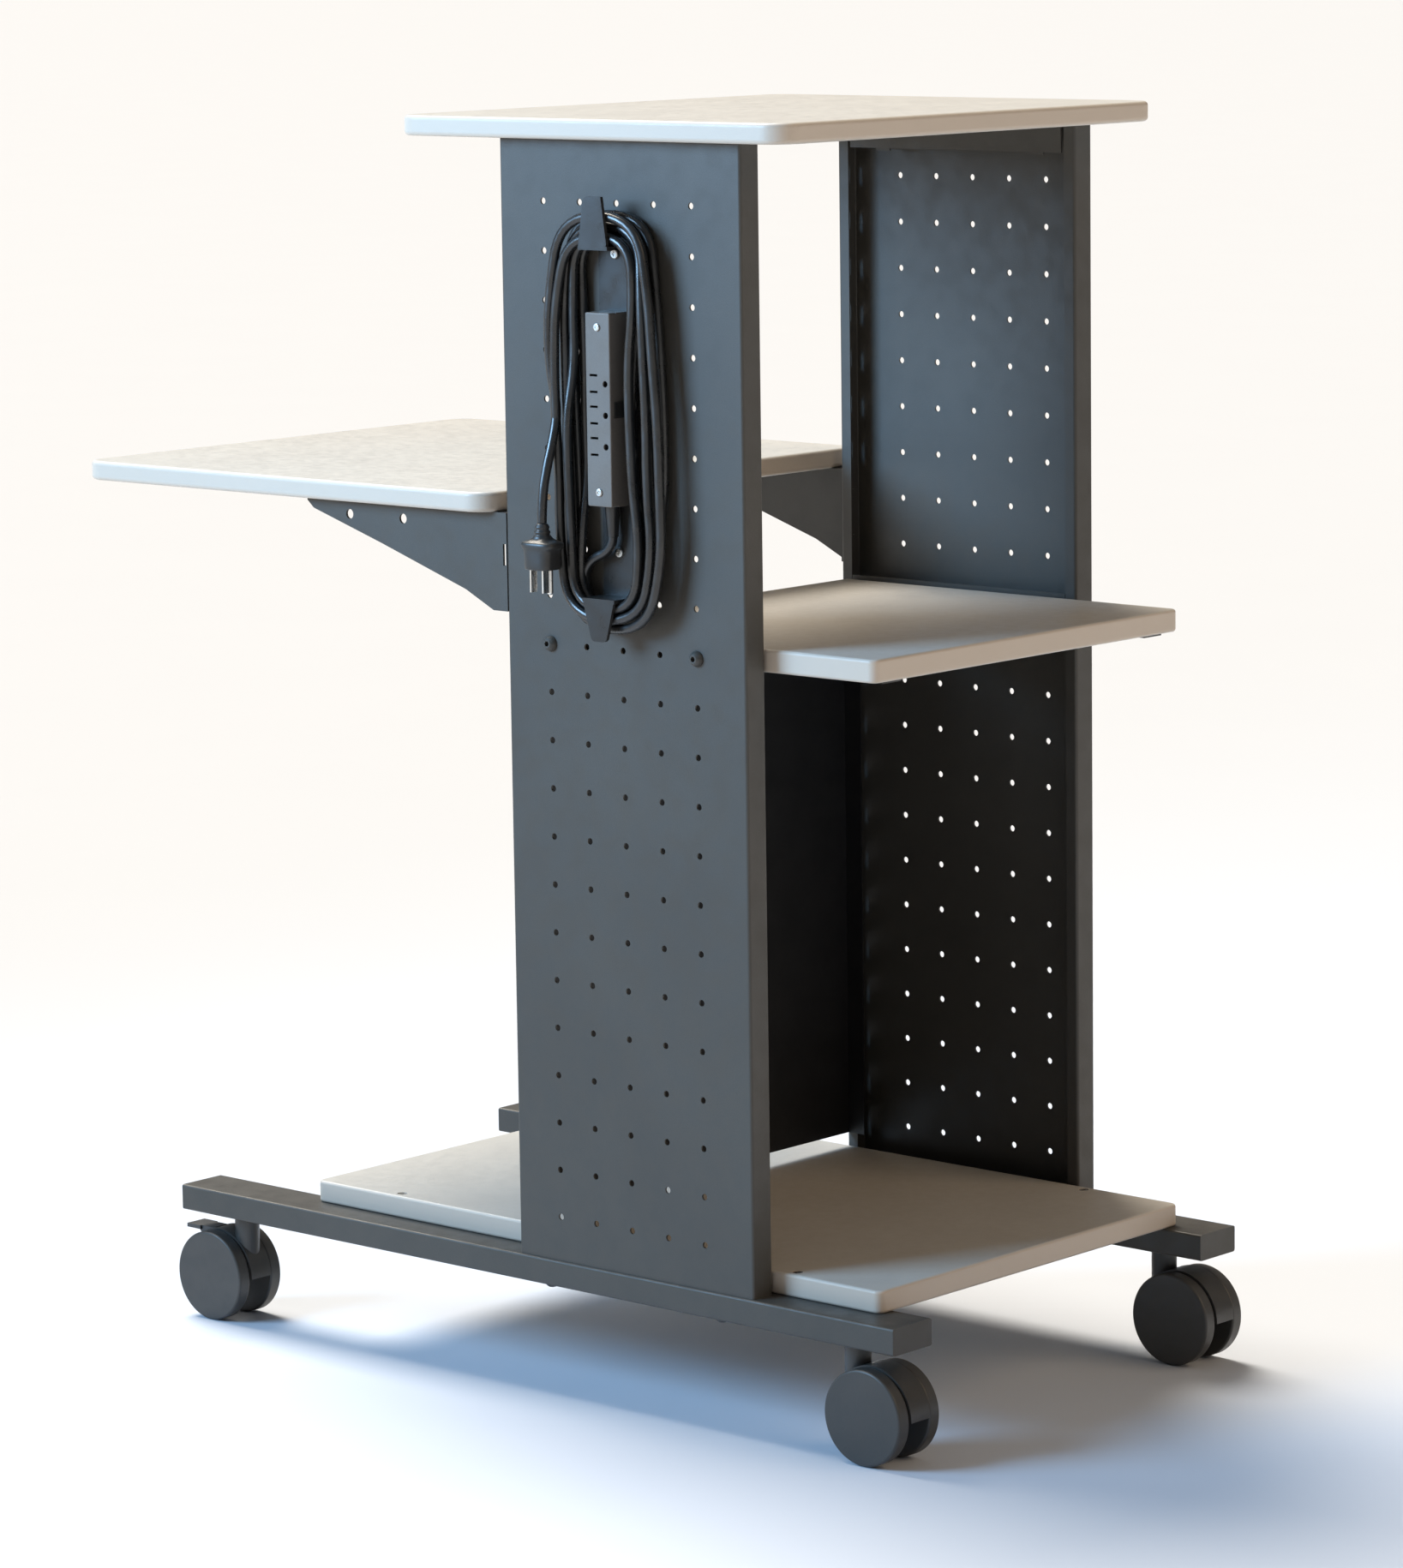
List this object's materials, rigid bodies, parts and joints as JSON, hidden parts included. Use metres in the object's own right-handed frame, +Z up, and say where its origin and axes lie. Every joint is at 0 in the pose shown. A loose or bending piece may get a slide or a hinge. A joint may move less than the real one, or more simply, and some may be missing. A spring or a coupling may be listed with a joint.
{
  "type": "mobile printer stand",
  "caption": "Rolling stand with perforated side panels, a top shelf, a rear cantilever shelf, two inner shelves, a closed lower back and a wound power strip cord.",
  "frame": {"origin": "on the floor, in the middle of the footprint: bottom centre of the box round the stand, measured without its cord", "axes": "+Z up; -Y to the front, where the two inner shelves project between the side panels; +Y to the rear, where the cantilever shelf hangs; -X towards the panel that carries the cord winder"},
  "size_m": [0.4901, 0.871, 1.0115],
  "materials": {
    "slate_powder_coat": "fine-texture powder coat, satin, dark slate",
    "black_powder_coat": "satin black powder coat",
    "grey_laminate_board": "light grey laminated board with softly rounded light edges",
    "black_plastic": "moulded black plastic",
    "grey_strip_shell": "satin mid-grey shell",
    "zinc_steel": "bright zinc plate",
    "cord_jacket": "flexible black jacket, satin",
    "nickel_blades": "nickel-plated brass, bright",
    "caster_hood_plastic": "moulded dark slate plastic, fine texture",
    "caster_tread": "dark slate moulded wheel with a smooth tread",
    "brake_pedal_plastic": "moulded dark plastic"
  },
  "bodies": {
    "frame": {"base_rail_left": "slate_powder_coat", "base_rail_right": "slate_powder_coat", "side_panel_left": "slate_powder_coat", "side_panel_right": "slate_powder_coat", "cantilever_bracket_left": "slate_powder_coat", "cantilever_bracket_right": "slate_powder_coat", "panel_to_rail_bolts": "slate_powder_coat", "middle_shelf_bolts": "slate_powder_coat", "back_panel": "black_powder_coat", "cord_winder": "black_powder_coat", "middle_shelf_angle_left": "black_powder_coat", "middle_shelf_angle_right": "black_powder_coat", "top_shelf_angle_left": "black_powder_coat", "top_shelf_angle_right": "black_powder_coat", "top_shelf": "grey_laminate_board", "cantilever_shelf": "grey_laminate_board", "middle_shelf": "grey_laminate_board", "bottom_shelf": "grey_laminate_board", "strip_outlets": "black_plastic", "back_panel_clips": "black_plastic", "rail_end_caps": "slate_powder_coat", "strip_housing": "grey_strip_shell", "strip_cover": "grey_strip_shell", "top_shelf_screws": "zinc_steel", "cantilever_shelf_screws": "zinc_steel", "bottom_shelf_screws": "zinc_steel", "winder_screws": "zinc_steel", "strip_screws": "zinc_steel", "panel_nuts": "zinc_steel", "caster_nuts": "zinc_steel", "middle_shelf_spacers": "zinc_steel", "strain_relief": "cord_jacket", "cord_lead": "cord_jacket", "cord_tail": "cord_jacket", "cord_hank": "cord_jacket", "plug_body": "cord_jacket", "plug_blades": "nickel_blades", "caster_stem_front_left": "zinc_steel", "caster_stem_front_right": "zinc_steel", "caster_stem_rear_left": "zinc_steel", "caster_stem_rear_right": "zinc_steel"},
    "caster_front_left": {"caster_hood_front_left": "caster_hood_plastic", "caster_axle_front_left": "zinc_steel"},
    "wheel_front_left_outer": {"caster_wheel_front_left_outer": "caster_tread"},
    "wheel_front_left_inner": {"caster_wheel_front_left_inner": "caster_tread"},
    "caster_front_right": {"caster_hood_front_right": "caster_hood_plastic", "caster_axle_front_right": "zinc_steel"},
    "wheel_front_right_outer": {"caster_wheel_front_right_outer": "caster_tread"},
    "wheel_front_right_inner": {"caster_wheel_front_right_inner": "caster_tread"},
    "caster_rear_left": {"caster_hood_rear_left": "caster_hood_plastic", "caster_axle_rear_left": "zinc_steel"},
    "wheel_rear_left_outer": {"caster_wheel_rear_left_outer": "caster_tread"},
    "wheel_rear_left_inner": {"caster_wheel_rear_left_inner": "caster_tread"},
    "pedal_rear_left": {"brake_pedal_rear_left": "brake_pedal_plastic"},
    "caster_rear_right": {"caster_hood_rear_right": "caster_hood_plastic", "caster_axle_rear_right": "zinc_steel"},
    "wheel_rear_right_outer": {"caster_wheel_rear_right_outer": "caster_tread"},
    "wheel_rear_right_inner": {"caster_wheel_rear_right_inner": "caster_tread"},
    "pedal_rear_right": {"brake_pedal_rear_right": "brake_pedal_plastic"}
  },
  "joints": [
    {"name": "swivel_front_left", "type": "hinge", "parent": "frame", "child": "caster_front_left", "pos_m": [-0.192, -0.374, 0.087], "axis": [0, 0, 1], "continuous": true},
    {"name": "roll_front_left_outer", "type": "hinge", "parent": "caster_front_left", "child": "wheel_front_left_outer", "pos_m": [-0.2099, -0.397, 0.0375], "axis": [1, 0, 0], "continuous": true},
    {"name": "roll_front_left_inner", "type": "hinge", "parent": "caster_front_left", "child": "wheel_front_left_inner", "pos_m": [-0.1741, -0.397, 0.0375], "axis": [1, 0, 0], "continuous": true},
    {"name": "swivel_front_right", "type": "hinge", "parent": "frame", "child": "caster_front_right", "pos_m": [0.192, -0.374, 0.087], "axis": [0, 0, 1], "continuous": true},
    {"name": "roll_front_right_outer", "type": "hinge", "parent": "caster_front_right", "child": "wheel_front_right_outer", "pos_m": [0.2099, -0.397, 0.0375], "axis": [1, 0, 0], "continuous": true},
    {"name": "roll_front_right_inner", "type": "hinge", "parent": "caster_front_right", "child": "wheel_front_right_inner", "pos_m": [0.1741, -0.397, 0.0375], "axis": [1, 0, 0], "continuous": true},
    {"name": "swivel_rear_left", "type": "hinge", "parent": "frame", "child": "caster_rear_left", "pos_m": [-0.192, 0.297, 0.087], "axis": [0, 0, 1], "continuous": true},
    {"name": "roll_rear_left_outer", "type": "hinge", "parent": "caster_rear_left", "child": "wheel_rear_left_outer", "pos_m": [-0.2099, 0.32, 0.0375], "axis": [1, 0, 0], "continuous": true},
    {"name": "roll_rear_left_inner", "type": "hinge", "parent": "caster_rear_left", "child": "wheel_rear_left_inner", "pos_m": [-0.1741, 0.32, 0.0375], "axis": [1, 0, 0], "continuous": true},
    {"name": "brake_rear_left", "type": "hinge", "parent": "caster_rear_left", "child": "pedal_rear_left", "pos_m": [-0.192, 0.336, 0.064], "axis": [-1, 0, 0], "range_deg": [0, 12]},
    {"name": "swivel_rear_right", "type": "hinge", "parent": "frame", "child": "caster_rear_right", "pos_m": [0.192, 0.297, 0.087], "axis": [0, 0, 1], "continuous": true},
    {"name": "roll_rear_right_outer", "type": "hinge", "parent": "caster_rear_right", "child": "wheel_rear_right_outer", "pos_m": [0.2099, 0.32, 0.0375], "axis": [1, 0, 0], "continuous": true},
    {"name": "roll_rear_right_inner", "type": "hinge", "parent": "caster_rear_right", "child": "wheel_rear_right_inner", "pos_m": [0.1741, 0.32, 0.0375], "axis": [1, 0, 0], "continuous": true},
    {"name": "brake_rear_right", "type": "hinge", "parent": "caster_rear_right", "child": "pedal_rear_right", "pos_m": [0.192, 0.336, 0.064], "axis": [-1, 0, 0], "range_deg": [0, 12]}
  ]
}
